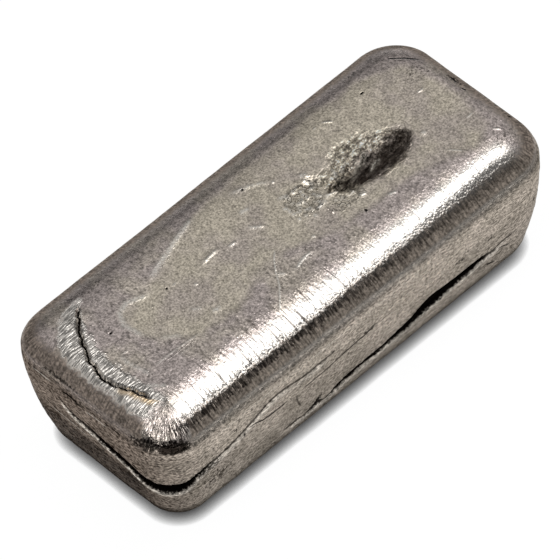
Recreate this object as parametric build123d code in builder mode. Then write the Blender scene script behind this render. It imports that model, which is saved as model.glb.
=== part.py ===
from build123d import *
from math import cos, pi, radians, sin, tan
import os

# A small ingot of fine silver, poured by hand into an open mould and left as cast.
# It lies as it was poured, on the mould's floor face, with the open poured face up.
# Millimetres and degrees. The origin is at the middle of the base, X along the bar, Z up.

# Outer form
length = 63.7                # end to end at the mouth, where the bar is widest
width = 28.05                # side to side at the mouth
height = 19.5                # base to the flat of the poured face
corner_radius = 5.8          # upright corners at the mouth
foot_corner_radius = 4.3     # upright corners at the base
draft = 10.2                 # lean of the four moulded walls, base edge to mouth
wall_bulge = 0.5             # how far each wall bows out, half way up
base_round = 3.7             # edge between base and walls

# Poured rim: on each side a quarter ellipse, less its steepest part where it meets the mouth
rim_rise = 3.3               # mouth to the flat of the poured face
side_rim_run = 7.0           # how far in from the mouth the flat starts, along the sides
near_rim_run = 4.2           # the same at the near end
far_rim_run = 3.6            # the same at the far end
rim_start = 14               # angle on the ellipse at the mouth
rim_angles = (rim_start, 35, 60, 90)
face_corner_radius = 4.2     # corners of the flat of the poured face

# Shrinkage pit, where the last metal froze, and the small hollow beside it
pit_length = 11.5
pit_width = 6.6
pit_depth = 1.2
pit_from_middle = 15.4       # along the bar, from its middle
pit_off_centre = 0.2         # towards the far long wall
hollow_length = 3.6
hollow_width = 2.8
hollow_depth = 0.35
hollow_from_middle = 7.6
hollow_off_centre = 2.2

# Crescent-shaped crack across the near end of the poured face
crack_opening = 0.4
crack_depth = 0.7
crack_from_end = 3.3         # its bow, measured from the end of the bar
crack_bow_off_centre = 0.8   # towards the near long wall
crack_far_tip = (9.15, 9.6)  # its tips: distance from the end of the bar, and from its middle line
crack_near_tip = (4.85, 7.3)

# Cold-shut folds, where one flow of metal lapped over another
lap_rise = 0.2               # how far above its middle a fold is deepest, for each millimetre that it opens
lip_clearance = 0.6          # how far the cut stands proud of the wall

mouth_height = height - rim_rise
half_arc = corner_radius * pi / 4
long_straight = length - 2 * corner_radius
corner_to_corner = long_straight + 2 * half_arc


def wall_inset(level):
    """How far in from the mouth the moulded wall stands at a level."""
    return (mouth_height - level) * tan(radians(draft)) - wall_bulge * sin(pi * level / mouth_height)


def outline(near_inset, far_inset, side_inset, radius, level):
    """Rounded rectangle of the bar at one level, drawn in at each end and along both sides."""
    with BuildSketch(Plane.XY.offset(level), mode=Mode.PRIVATE) as section:
        with Locations(((near_inset - far_inset) / 2, 0)):
            RectangleRounded(length - near_inset - far_inset, width - 2 * side_inset, radius)
    return section.sketch


def wall_outline(level):
    """Outline of the moulded walls at a level."""
    inset = wall_inset(level)
    radius = foot_corner_radius + (corner_radius - foot_corner_radius) * level / mouth_height
    return outline(inset, inset, inset, radius, level)


def rim_outline(angle):
    """Outline of the poured rim, from the mouth at the start angle to the flat at 90 degrees."""
    share = 1 - cos(radians(angle)) / cos(radians(rim_start))
    rise = (sin(radians(angle)) - sin(radians(rim_start))) / (1 - sin(radians(rim_start)))
    radius = corner_radius + (face_corner_radius - corner_radius) * share
    return outline(near_rim_run * share, far_rim_run * share, side_rim_run * share, radius,
                   mouth_height + rim_rise * rise)


def wall_plane(run, level, outset):
    """Upright plane across the wall: X points out of the wall and Y up.

    The run follows the mouth from the middle of the near corner, along the long wall when
    positive and along the near end when negative.
    """
    radius = foot_corner_radius + (corner_radius - foot_corner_radius) * level / mouth_height
    centre_x = length / 2 - wall_inset(level) - radius
    centre_y = width / 2 - wall_inset(level) - radius
    if run < -half_arc:
        turn = 180
        centre = (-centre_x, -centre_y - run - half_arc)
    elif run < half_arc:
        turn = 225 + 45 * run / half_arc
        centre = (-centre_x, -centre_y)
    elif run < corner_to_corner - half_arc:
        turn = 270
        share = (run - half_arc) / long_straight
        centre = (-centre_x + 2 * centre_x * share, -centre_y)
    else:
        turn = 315 + 45 * (run - corner_to_corner) / half_arc
        centre = (centre_x, -centre_y)
    out = Vector(cos(radians(turn)), sin(radians(turn)), 0)
    origin = Vector(*centre, level) + out * (radius + outset)
    return Plane(origin=origin, x_dir=out, z_dir=out.cross(Vector(0, 0, 1)))


def fold_section(run, level, opening, depth):
    """Mouth of a fold, whose upper lip laps over a sloping lower one. At depth 0 it is clear of the wall."""
    outset = 0 if depth > 0 else lip_clearance
    upper_lip = (0, opening / 2)
    lower_lip = (0, -opening / 2)
    cusp = (-max(depth, opening / 2), lap_rise * opening)
    with BuildSketch(wall_plane(run, level, outset), mode=Mode.PRIVATE) as section:
        with BuildLine():
            Polyline(upper_lip, cusp, lower_lip, (lip_clearance, -opening / 2), (lip_clearance, opening / 2),
                     close=True)
        make_face()
    return section.sketch


def trough(long, wide, deep, x, y):
    """Cutter for a round-bottomed hollow with round ends, turned about an axis above the poured face."""
    radius = (wide ** 2 / 4 + deep ** 2) / (2 * deep)
    with BuildPart(mode=Mode.PRIVATE) as cutter:
        with BuildSketch(Plane.XZ):
            SlotCenterToCenter(long - wide, 2 * radius)
            Rectangle(long + 2 * radius, radius, align=(Align.CENTER, Align.MIN), mode=Mode.SUBTRACT)
        revolve(axis=Axis.X)
    return cutter.part.moved(Location((x, y, height + radius - deep)))


def crescent():
    """Thin crescent between two arcs that share their tips."""
    near_end = -length / 2
    far_tip = (near_end + crack_far_tip[0], crack_far_tip[1])
    near_tip = (near_end + crack_near_tip[0], -crack_near_tip[1])
    bow = near_end + crack_from_end
    with BuildSketch(Plane.XY.offset(height - crack_depth), mode=Mode.PRIVATE) as section:
        with BuildLine():
            ThreePointArc(far_tip, (bow - crack_opening / 2, -crack_bow_off_centre), near_tip)
            ThreePointArc(near_tip, (bow + crack_opening / 2, -crack_bow_off_centre), far_tip)
        make_face()
    return section.sketch


# Fold round the near corner: distance along the mouth, level, opening and depth
corner_fold = (
    (-17.5, 14.6, 0.3, 0.0),
    (-16.2, 13.1, 0.5, 0.5),
    (-14.0, 12.3, 0.5, 0.5),
    (-10.0, 11.4, 0.9, 0.8),
    (-6.0, 10.4, 1.4, 1.2),
    (-3.0, 9.2, 1.6, 1.5),
    (0.0, 8.8, 1.8, 1.7),
    (2.0, 9.0, 1.5, 1.5),
    (4.5, 10.5, 0.7, 0.8),
    (8.0, 10.9, 0.4, 0.5),
    (11.5, 11.9, 0.5, 0.6),
    (15.5, 13.6, 0.4, 0.5),
    (20.0, 13.2, 0.4, 0.5),
    (25.8, 13.2, 0.3, 0.0),
)

# Fold along the foot of the long wall, its distances taken back from the far corner
long_fold = (
    (43.5, 4.4, 0.3, 0.0),
    (40.0, 4.4, 0.5, 0.5),
    (37.5, 4.9, 0.9, 0.8),
    (36.0, 4.3, 0.4, 0.5),
    (33.5, 5.2, 0.9, 1.0),
    (27.0, 5.7, 1.0, 1.1),
    (23.0, 6.3, 1.7, 1.3),
    (19.5, 7.3, 2.3, 1.5),
    (17.0, 7.4, 2.2, 1.5),
    (13.0, 7.4, 1.4, 1.3),
    (10.0, 7.4, 0.7, 0.7),
    (4.5, 7.8, 0.3, 0.0),
)

# Spur that stands up from it
spur = (
    (38.1, 5.1, 0.3, 0.0),
    (37.5, 5.5, 0.7, 0.6),
    (36.5, 6.3, 0.3, 0.0),
)

with BuildPart() as bar:
    # Moulded body, base to mouth, with the round of the mould's floor
    loft([wall_outline(mouth_height * share) for share in (0, 1 / 3, 2 / 3, 1)])
    fillet(bar.edges().group_by(Axis.Z)[0], base_round)
    # Poured rim
    loft([rim_outline(angle) for angle in rim_angles])
    # Shrinkage pit and its hollow
    add(trough(pit_length, pit_width, pit_depth, pit_from_middle, pit_off_centre), mode=Mode.SUBTRACT)
    hollow = trough(hollow_length, hollow_width, hollow_depth, hollow_from_middle, hollow_off_centre)
    add(hollow, mode=Mode.SUBTRACT)
    # Crescent crack
    extrude(crescent(), amount=2 * crack_depth, mode=Mode.SUBTRACT)
    # Folds
    loft([fold_section(*station) for station in corner_fold], ruled=True, mode=Mode.SUBTRACT)
    for fold in (long_fold, spur):
        sections = [fold_section(corner_to_corner - back, *rest) for back, *rest in fold]
        loft(sections, ruled=True, mode=Mode.SUBTRACT)

bar.part.label = "bar"

os.makedirs("parts", exist_ok=True)
export_step(bar.part, "parts/bar.step")
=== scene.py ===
import math

import bpy
import numpy as np
from mathutils import Matrix, Vector, geometry


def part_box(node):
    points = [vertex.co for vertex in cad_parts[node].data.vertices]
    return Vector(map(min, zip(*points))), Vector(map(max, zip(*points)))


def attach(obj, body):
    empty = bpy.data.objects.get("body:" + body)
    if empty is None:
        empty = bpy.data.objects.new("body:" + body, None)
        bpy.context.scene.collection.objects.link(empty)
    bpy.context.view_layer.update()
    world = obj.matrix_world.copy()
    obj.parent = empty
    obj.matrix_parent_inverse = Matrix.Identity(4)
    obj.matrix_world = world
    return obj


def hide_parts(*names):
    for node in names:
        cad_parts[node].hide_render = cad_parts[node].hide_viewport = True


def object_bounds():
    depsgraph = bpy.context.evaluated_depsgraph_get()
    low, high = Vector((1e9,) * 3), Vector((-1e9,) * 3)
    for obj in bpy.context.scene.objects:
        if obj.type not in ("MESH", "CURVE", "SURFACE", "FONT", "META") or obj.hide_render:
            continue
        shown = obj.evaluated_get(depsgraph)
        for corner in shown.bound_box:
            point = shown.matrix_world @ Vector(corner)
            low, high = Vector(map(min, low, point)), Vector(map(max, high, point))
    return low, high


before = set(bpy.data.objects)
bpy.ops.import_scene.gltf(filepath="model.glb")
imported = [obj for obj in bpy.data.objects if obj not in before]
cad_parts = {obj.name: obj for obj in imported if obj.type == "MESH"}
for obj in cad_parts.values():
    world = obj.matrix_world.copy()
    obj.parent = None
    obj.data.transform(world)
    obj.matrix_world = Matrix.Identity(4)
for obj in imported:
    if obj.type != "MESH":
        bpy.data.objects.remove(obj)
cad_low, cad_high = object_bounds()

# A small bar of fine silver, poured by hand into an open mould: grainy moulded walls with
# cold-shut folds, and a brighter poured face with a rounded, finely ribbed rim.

MM = 0.001
bar_low, bar_high = (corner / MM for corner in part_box("bar"))

# Form of the bar, in millimetres, with the overall size taken from the frame
LENGTH, WIDTH, HEIGHT = bar_high - bar_low
CORNER_RADIUS = 5.8
FOOT_CORNER_RADIUS = 4.3
FACE_CORNER_RADIUS = 4.2
DRAFT = math.tan(math.radians(10.2))
WALL_BULGE = 0.5
BASE_ROUND = 3.7
SIDE_RIM_RUN = 7.0
NEAR_RIM_RUN = 4.2
FAR_RIM_RUN = 3.6
RIM_RISE = 3.3
RIM_START = math.radians(14)     # the rim is a quarter ellipse, less this much where it meets the mouth
FACE_EDGE = math.radians(55)     # where on that ellipse the mesh changes from rings to a fine fill
MOUTH = HEIGHT - RIM_RISE

# Mesh: columns in each half of a long side and of an end, rows down the skin
LONG_COLUMNS = 113
END_COLUMNS = 47
RIM_ROWS = 16
WALL_ROWS = 48
ROUND_ROWS = 12
FACE_SPACING = 0.2
BASE_SPACING = 1.2

# Folds: run along the mouth from the middle of the near corner, level, opening and depth
CORNER_FOLD = np.array([
    (-17.5, 14.6, 0.3, 0), (-16.7, 13.8, 0.5, 0.4), (-15.8, 12.9, 0.65, 0.5), (-14, 12.3, 0.75, 0.6),
    (-12, 12, 0.85, 0.7), (-10, 11.4, 1.05, 0.9), (-8, 10.9, 1.2, 1), (-6, 10.4, 1.4, 1.2),
    (-4, 9.6, 1.6, 1.4), (-2, 8.95, 1.7, 1.6), (0, 8.8, 1.8, 1.7), (2, 9.1, 1.5, 1.5),
    (4, 10.3, 0.8, 0.9), (6, 10.65, 0.45, 0.6), (8, 10.9, 0.4, 0.5), (10, 11.4, 0.45, 0.5),
    (11.5, 12, 0.4, 0.5), (13, 12.6, 0.4, 0.5), (14.5, 13.3, 0.35, 0.5), (16.5, 13.75, 0.35, 0.5),
    (18.5, 13.5, 0.35, 0.4), (20, 13.2, 0.35, 0.4), (24, 13.2, 0.3, 0.4), (25.8, 13.2, 0.3, 0)])
LONG_FOLD = np.array([
    (17.3, 4.4, 0.3, 0), (19, 4.45, 0.6, 0.5), (21, 4.3, 0.35, 0.5), (22.3, 4.7, 0.8, 0.7),
    (23.2, 4.9, 0.9, 0.8), (24.1, 4.25, 0.4, 0.5), (25, 4.35, 0.5, 0.6), (26, 4.85, 0.8, 0.8),
    (27.5, 5.2, 0.95, 1), (30, 5.45, 0.9, 1), (33, 5.6, 0.9, 1.1), (36, 5.9, 1.2, 1.2),
    (38, 6.25, 1.6, 1.3), (39.5, 6.9, 1.9, 1.4), (41, 7.35, 2.3, 1.5), (43, 7.4, 2.1, 1.5),
    (44.5, 7.4, 1.7, 1.4), (48, 7.45, 1.4, 1.3), (50, 7.5, 0.8, 0.9), (51.5, 7.25, 0.5, 0.6),
    (53.5, 7.75, 0.35, 0.4), (56.2, 7.8, 0.3, 0)])
SPUR = np.array([(22.2, 4.9, 0.3, 0), (22.9, 5.4, 0.7, 0.6), (23.5, 6, 0.35, 0.4), (24, 6.4, 0.2, 0)])

# Crescent crack on the poured face, seen from above
CRACK = [(-22.7, 9.6), (-23.4, 9), (-24.4, 8.1), (-24.9, 7.3), (-25.7, 6.7), (-26.1, 5.9), (-26.9, 4.7),
         (-27.3, 3.5), (-28.1, 2.4), (-28.3, 1), (-28.8, -0.3), (-28.7, -2), (-28.3, -3.4), (-27.7, -4.6),
         (-27.4, -6), (-26.9, -7.4)]
CRACK_OPENING = 0.3
CRACK_DEPTH = 0.7

# Smaller steps of the surface, in millimetres
CRACK_LIP_RISE = 0.08
FOLD_LIP_RISE = 0.12         # for each millimetre of the fold's depth
POOL_STEP = 0.03
NEAR_RIM_SAG = 0.28
FAR_RIM_SAG = 0.16
MOUTH_ROUNDING = 0.1
# A painted highlight along narrow ripples' crests, given as a scratch's depth
CREST_SHINE = 3 / 14         # brightness of a ripple's crest, as a scratch's depth, for its height
GLOSSY_CORNER = (2.9 - LENGTH / 2, 2.8 - WIDTH / 2, 3.6, 3.6)    # middle, half length and half width

# Combed lips of the crack, and the edge of the last pool to freeze, as outlines on the face
COMBED = [(-22.6, 9.9), (-24.5, 9.7), (-26.5, 9.1), (-28.2, 7.6), (-29.2, 5.6), (-29.9, 3.2), (-30, 0),
          (-29.7, -2.5), (-29.8, -6), (-29.4, -8.2), (-25.9, -8.4), (-26.3, -5), (-26.6, -3),
          (-26.6, 0), (-26.4, 2.6), (-25.8, 4.8), (-25.2, 6.3), (-24, 8.1)]
POOL = [(-21.9, 3.2), (-21, 4.7), (-19.5, 5.2), (-18, 4.6), (-16.5, 4.2), (-15.3, 5.5), (-12, 6.7),
        (-8, 8.1), (-5, 8.9), (-1.3, 9.4), (10, 9.8), (22, 9.6), (27.5, 7), (28.3, 0), (27.5, -6.5),
        (24, -8), (17, -5.6), (10, -5.4), (4, -4.8), (0, -3.4), (-3, -2.2), (-7, -2.4),
        (-9, -4.6), (-13, -5), (-17, -4.4), (-20, -2), (-21.5, 0)]

# Shrinkage pit, as an outline, with the line along which it is deepest
PIT = [(7.3, 0.2), (7.9, -0.9), (9.6, -1.7), (10.6, -2.5), (12.4, -3), (15, -3.7), (17.4, -3.6),
       (19.6, -2.6), (21, -1.2), (21.3, 0.2), (20.6, 1.5), (18.4, 2.5), (16.5, 3.6), (14, 3.5), (12.8, 4.1),
       (11.4, 3.3), (10.4, 3.1), (9.4, 1.6), (8.2, 1.4)]
PIT_LINE = [(8.8, -0.1), (10.4, -0.4), (12.2, -0.9), (14.5, -0.8), (17, -0.4), (19, -0.3)]
PIT_DEPTH = 1.25
# Smaller hollows beside it: middle, half length, half width and depth
HOLLOWS = [(7.5, 2.2, 1.7, 1.3, 0.25), (8.7, -0.1, 1.5, 0.7, 0.3), (5.2, 1.4, 2.8, 2.6, 0.06)]
# Where crystals stand, and where beads of metal lie: middle, half length, half width and strength
CRYSTALS = [(13.8, 2.6, 4.6, 2.2, 1), (9.5, 1.2, 2.2, 2.2, 1), (9.8, -1.2, 1.8, 1.6, 1)]
BEADS = [(5, 1.1, 2.9, 3, 1), (8.6, -2.4, 3.4, 1.6, 1)]

# Ripples and burrs left by the pour: path across the face, half width and height
RIPPLES = [
    ([(-21.4, -0.3), (-21.9, 3), (-21, 4.7), (-19.5, 5.2), (-18, 4.6), (-16.5, 4)], 0.36, 0.112),
    ([(-20.6, -1.2), (-19.4, -2.2), (-18, -3.3)], 0.35, 0.07),
    ([(-15.5, 5.6), (-12, 6.8), (-8, 8.2), (-5, 9)], 0.4, 0.112),
    ([(-0.6, 8.3), (0.8, 7.9), (2, 7.4), (3, 6.9), (4.7, 5.7)], 0.3, 0.084),
    ([(-25.3, 0.6), (-25.4, -1.5), (-25, -3.6), (-24.6, -5.2)], 0.35, 0.084),
    ([(-26.3, -5), (-25.4, -6.4), (-24.2, -7.4)], 0.3, 0.112),
    ([(-9.9, 2.6), (-9, 3), (-8, 3.1), (-6.3, 3.3)], 0.28, 0.098),
    ([(-5.9, 2.5), (-4.4, 2.4)], 0.22, 0.112),
    ([(-2.2, 3.4), (-1.9, 2.6), (-1.2, 2), (-0.4, 1.6)], 0.25, 0.098),
    ([(-1.6, 4.7), (-1, 5.2), (-0.4, 4.9), (-0.5, 5.6)], 0.3, 0.126),
    ([(-3.2, -5.8), (-1.8, -5.4), (-0.6, -5.1), (0.7, -5.1)], 0.26, 0.168),
    ([(-5, -4.6), (-4.4, -4.9), (-3.9, -5.5)], 0.25, 0.098),
    ([(5, -1), (5.7, -1), (6.5, -0.8)], 0.25, 0.196),
    ([(6.9, 4), (7.5, 3.9), (8.1, 3.4)], 0.3, 0.196),
    ([(7.1, -0.1), (7.7, -0.5), (8.5, -0.6), (9.2, -0.9)], 0.25, 0.168),
    ([(9.5, -1.6), (9.9, -2.1), (9.6, -2.6)], 0.25, 0.168),
    ([(9.8, -3), (10.1, -3.3), (10.9, -3.5)], 0.28, 0.224),
    ([(12, -5.5), (12.7, -5.8), (13.4, -6)], 0.24, 0.14),
    ([(1.7, -3.5), (2.3, -3.8)], 0.22, 0.112),
    ([(4.2, 5.8), (4.8, 5.6)], 0.22, 0.112),
    ([(-13.8, -2.8), (-13.1, -3.3), (-12.2, -3.1)], 0.3, 0.14),
    ([(-15.4, -0.6), (-14.6, -1.4), (-13.8, -1.9)], 0.3, 0.07),
    ([(-12.4, 1.4), (-11.8, 1.1)], 0.25, 0.112),
    ([(10.9, -0.6), (12.4, 0.1), (14, 0.5), (15.6, 1.3)], 0.34, 0.42),
    ([(10.6, 0.9), (11.8, 1.2), (13, 2)], 0.28, 0.28),
    ([(9.6, 0.4), (10.3, 1.3), (10.6, 2.3)], 0.28, 0.224),
    ([(13.6, -0.9), (15, -0.4), (16.4, -0.2)], 0.26, 0.224),
    ([(21.2, -1.6), (21.9, -2.3)], 0.3, 0.112),
    ([(-25.4, 8.7), (-27.3, 6.9), (-28.4, 4.6), (-29.2, 1.5), (-29.4, -1.5), (-29, -4),
      (-28.4, -6)], 0.5, 0.07)]

# Fine cracks (depth above 0) and scratches with a raised bright burr (below 0), across the face
FACE_MARKS = [
    ([(-26.5, 2.4), (-26.7, -1.5), (-26.4, -4.8)], 0.025),
    ([(-25.8, -5), (-24.8, -4.3), (-24, -4.1)], 0.03),
    ([(26.4, 10), (28.2, 8), (29.6, 6)], 0.07),
    ([(-24.2, -4), (-21, -4), (-16.2, -4.3)], -0.03),
    ([(-21.5, -4.9), (-18.5, -5)], -0.02),
    ([(-25.2, 0.1), (-23.9, -0.1)], -0.03),
    ([(-14.3, 3.1), (-13.2, 3.2)], -0.03),
    ([(-2, -1.4), (-3.5, -2.8), (-4.8, -4.5), (-5.7, -6), (-8.7, -9.2)], -0.05),
    ([(14.5, 8.2), (15.1, 7.6), (15.8, 7)], -0.07),
    ([(21.4, -5.6), (23, -7.6)], -0.04),
    ([(27.3, -7.3), (28.3, -8.2)], -0.05),
    ([(26.2, -4.1), (27.8, -4)], -0.04),
    ([(25.2, 3), (26.5, 2.9)], -0.05),
    ([(13.1, 8), (13.8, 8)], -0.04),
    ([(8.8, -5.6), (8.9, -5.1)], 0.12),
    ([(1.1, 7.5), (1.5, 7.5)], 0.1),
    ([(-24, 3.3), (-23.5, 3.2)], 0.09),
    ([(-15, 3.3), (-14.6, 3.3)], 0.08),
    ([(20.6, 7.7), (21.3, 7.8)], 0.07),
    ([(30.3, -6.9), (30.6, -7.1)], 0.12),
    ([(29.9, 2.2), (29.7, 0.8)], 0.1),
    ([(29.4, -0.2), (29.6, -0.9)], 0.1)]

# Fine cracks on the walls: run and level
WALL_MARKS = [
    ([(-16.6, 15.6), (-16, 16.1), (-15, 16.3), (-13.4, 16), (-12, 15.5)], 0.09),
    ([(-13, 16.7), (-10, 16.6), (-7, 16.4), (-5.9, 16.4)], 0.09),
    ([(-21, 17.5), (-17, 17.3), (-14, 17.4)], 0.04),
    ([(-22, 16.3), (-20, 16.4), (-17.4, 16.2)], -0.03),
    ([(-13.5, 15.4), (-11, 15.8), (-8, 15.7)], -0.03),
    ([(-20, 10.3), (-16, 9.9), (-12, 9.4)], -0.03),
    ([(6, 15), (14, 15.3), (26, 15.2), (40, 15.3)], -0.02),
    ([(16, 14.3), (30, 14.4), (44, 14.2)], 0.02),
    ([(11.4, 11.7), (12.7, 11.6), (14, 11), (15.2, 10.8), (18.4, 10.75)], 0.07),
    ([(20, 10.65), (24.7, 10.8), (26, 11.2), (28, 11.4), (30, 11.6), (32.4, 11.8)], 0.05),
    ([(19.4, 11.4), (19.6, 9.2), (20.1, 7.4), (20.3, 6.4)], 0.04),
    ([(11.1, 11.6), (11.2, 10.3)], 0.06),
    ([(27.5, 13.15), (33, 12.9)], 0.03),
    ([(50.8, 5.3), (52, 4.7), (53.2, 3.9)], 0.07),
    ([(51.9, 7), (53.5, 6.6), (54.6, 5.9), (55.6, 5.1)], 0.05)]
# Dark stains on the walls, and painted dark reflections at the top of the near corner (the two at runs 1 and
# -2.6): run, level, half length, half height and strength
WALL_STAINS_AND_REFLECTIONS = [(31.3, 11.9, 1.4, 0.45, 0.6), (46, 10.8, 1, 0.4, 0.6), (51, 10.5, 0.6, 0.3, 0.6),
               (58.4, 11.1, 0.5, 0.45, 0.7), (5.5, 9.9, 2.6, 1, 0.5), (6.5, 6.8, 3, 2.2, 0.35),
               (9.8, 13.3, 0.35, 0.35, 0.7), (25.3, 13.2, 0.4, 0.4, 0.7), (1, 16.7, 3, 0.9, 0.75),
               (-2.6, 17, 3.4, 0.7, 0.6), (-13, 8.4, 3.6, 1, 0.35), (-7, 6.6, 4, 1.6, 0.35),
               (-17, 17.4, 4, 0.3, 0.5), (-10, 10.9, 4, 0.6, 0.35)]
# Dark stains on the poured face, in the same columns
FACE_STAINS = [(7.8, 2, 1.4, 1.5, 0.34), (9.3, -0.3, 2, 0.9, 0.35), (27.4, 5.2, 2.2, 2, 0.22),
               (29.9, 1.2, 0.6, 2, 0.4), (27.5, -9.5, 2.4, 1.4, 0.2), (-21.5, 10.3, 4, 0.9, 0.22),
               (14.3, 0.6, 1.2, 0.6, 0.25), (12, 1, 1.6, 0.5, 0.3), (-4, -6, 5, 2.2, 0.12),
               (-25, 7.5, 2.5, 2.5, 0.12), (22.5, 11.2, 1.2, 0.7, 0.25), (-24, -1, 2.5, 4, 0.1)]

# Cast relief that repeats over the skin: how far apart its lumps lie, and how high they stand
RELIEF_SIZES = {
    "Swell Size": 9 * MM, "Swell Height": 0.15 * MM, "Pock Size": 1.1 * MM, "Pock Depth": 0.12 * MM,
    "Crystal Size": 0.5 * MM, "Crystal Height": 0.36 * MM, "Lump Size": 1.5 * MM, "Lump Height": 0.9 * MM,
    "Seed": 3.0}


def linear(colour):
    """sRGB hex to linear red, green, blue and alpha."""
    parts = [int(colour[i:i + 2], 16) / 255 for i in (1, 3, 5)]
    return [p / 12.92 if p <= 0.04045 else ((p + 0.055) / 1.055) ** 2.4 for p in parts] + [1.0]


def node(tree, kind, inputs=(), **settings):
    """Adds a node with its settings. Each input is a value, or a socket to link from."""
    made = tree.nodes.new(kind)
    for name, value in settings.items():
        setattr(made, name, value)
    for name, value in dict(inputs).items():
        if isinstance(value, bpy.types.NodeSocket):
            tree.links.new(value, made.inputs[name])
        else:
            made.inputs[name].default_value = value
    return made


def placed(name, data):
    made = bpy.data.objects.new(name, data)
    bpy.context.collection.objects.link(made)
    return made


def smooth_step(low, high, value):
    share = np.clip((value - low) / (high - low), 0, 1)
    return share * share * (3 - 2 * share)


def through(x, knots, values):
    """Smooth curve through the given values, level beyond its ends."""
    slopes = np.gradient(values, knots)
    i = np.clip(np.searchsorted(knots, x) - 1, 0, len(knots) - 2)
    step = knots[i + 1] - knots[i]
    t = np.clip((x - knots[i]) / step, 0, 1)
    return ((2 * t ** 3 - 3 * t ** 2 + 1) * values[i] + (t ** 3 - 2 * t ** 2 + t) * step * slopes[i]
            + (3 * t ** 2 - 2 * t ** 3) * values[i + 1] + (t ** 3 - t ** 2) * step * slopes[i + 1])


# Skin of the bar

def outline(centre, half_x, half_y, radius):
    """Plan points and outward directions of one ring, from the middle of the near long side."""
    flat_x, flat_y = half_x - radius, half_y - radius
    arc = radius * math.pi / 2
    walk = np.concatenate([np.linspace(0, flat_x + arc / 2, LONG_COLUMNS + 1)[:-1],
                           np.linspace(flat_x + arc / 2, flat_x + arc + flat_y, END_COLUMNS + 1)])
    angle = math.pi / 2 - np.clip((walk - flat_x) / radius, 0, math.pi / 2)
    x = np.where(walk < flat_x, walk, flat_x + radius * np.cos(angle))
    y = np.where(walk < flat_x + arc, flat_y + radius * np.sin(angle), flat_y - (walk - flat_x - arc))
    quarter = np.column_stack([x, y, np.cos(angle), np.sin(angle)])
    flips = [((1, -1, 1, -1), 1), ((1, 1, 1, 1), -1), ((-1, 1, -1, 1), 1), ((-1, -1, -1, -1), -1)]
    ring = np.concatenate([(quarter * signs)[::order][:-1] for signs, order in flips])
    ring[:, 0] += centre
    return ring


def rim_ring(angle):
    """Middle, half sizes and corner radius of the rim's outline at an angle on its quarter ellipse."""
    share = (math.cos(RIM_START) - np.cos(angle)) / math.cos(RIM_START)
    return ((NEAR_RIM_RUN - FAR_RIM_RUN) / 2 * share, (LENGTH - (NEAR_RIM_RUN + FAR_RIM_RUN) * share) / 2,
            WIDTH / 2 - SIDE_RIM_RUN * share, CORNER_RADIUS + (FACE_CORNER_RADIUS - CORNER_RADIUS) * share)


def rim_level(angle):
    return MOUTH + RIM_RISE * (np.sin(angle) - math.sin(RIM_START)) / (1 - math.sin(RIM_START))


def wall_inset(level):
    """How far in from the mouth the moulded wall stands at a level."""
    return (MOUTH - level) * DRAFT - WALL_BULGE * np.sin(math.pi * level / MOUTH)


def wall_slope(level):
    return DRAFT + WALL_BULGE * math.pi / MOUTH * math.cos(math.pi * level / MOUTH)


def wall_radius(level):
    return FOOT_CORNER_RADIUS + (CORNER_RADIUS - FOOT_CORNER_RADIUS) * level / MOUTH


def outside(plan, ring):
    """Distance outside a rounded outline, below 0 inside it."""
    centre, half_x, half_y, radius = ring
    over_x = np.abs(plan[:, 0] - centre) - half_x + radius
    over_y = np.abs(plan[:, 1]) - half_y + radius
    return (np.hypot(np.maximum(over_x, 0), np.maximum(over_y, 0)) + np.minimum(np.maximum(over_x, over_y), 0)
            - radius)


def face_level(plan):
    """Level of the poured face before any relief, at each plan point inside the mouth."""
    low = np.full(len(plan), RIM_START)
    high = np.full(len(plan), math.pi / 2)
    for _ in range(24):
        middle = (low + high) / 2
        beyond = outside(plan, rim_ring(middle)) > 0
        high = np.where(beyond, middle, high)
        low = np.where(beyond, low, middle)
    return rim_level(high)


def skin_rows():
    """Outline, level and outward tilt of each row, from the face's edge to the base."""
    rows = []
    for angle in np.linspace(FACE_EDGE, RIM_START, RIM_ROWS):
        across = SIDE_RIM_RUN / math.cos(RIM_START) * math.sin(angle)
        up = RIM_RISE / (1 - math.sin(RIM_START)) * math.cos(angle)
        # Upright at the first ring, like the fill that it meets
        leaning = smooth_step(FACE_EDGE, FACE_EDGE - math.radians(15), angle)
        tilt = math.pi / 2 + (math.atan2(across, up) - math.pi / 2) * leaning
        rows.append((rim_ring(angle), rim_level(angle), tilt))

    def drawn_in(inset, radius):
        return 0, LENGTH / 2 - inset, WIDTH / 2 - inset, radius

    meet = BASE_ROUND * (1 - math.sin(math.atan(wall_slope(BASE_ROUND))))
    lean = math.atan(wall_slope(meet))
    for level in np.linspace(MOUTH, meet, WALL_ROWS)[1:]:
        rows.append((drawn_in(wall_inset(level), wall_radius(level)), level, -math.atan(wall_slope(level))))
    for angle in np.linspace(lean, math.pi / 2, ROUND_ROWS)[1:]:
        turned = BASE_ROUND * (math.cos(lean) - math.cos(angle))
        level = meet * (1 - math.sin(angle)) / (1 - math.sin(lean))
        rows.append((drawn_in(wall_inset(meet) + turned, wall_radius(meet) - turned * 0.9), level, -angle))
    return rows


def filled(edge, ring, spacing):
    """Triangles that fill a flat outline, with new points on a staggered grid inside it."""
    centre, half_x, half_y, _ = ring
    inner = []
    for row, y in enumerate(np.arange(-half_y, half_y, spacing * math.sqrt(3) / 2)):
        xs = np.arange(centre - half_x + spacing * 0.5 * (row % 2), centre + half_x, spacing)
        inner.append(np.column_stack([xs, np.full(len(xs), y)]))
    inner = np.concatenate(inner)
    inner = inner[outside(inner, ring) < -spacing * 0.45]
    count = len(edge)
    flat = [Vector(p) for p in np.concatenate([edge, inner])]
    made = geometry.delaunay_2d_cdt(flat, [(i, (i + 1) % count) for i in range(count)], [], 1, 1e-6)
    source = [min(names) for names in made[3]]
    return inner, [[source[i] for i in face] for face in made[2]]


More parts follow.
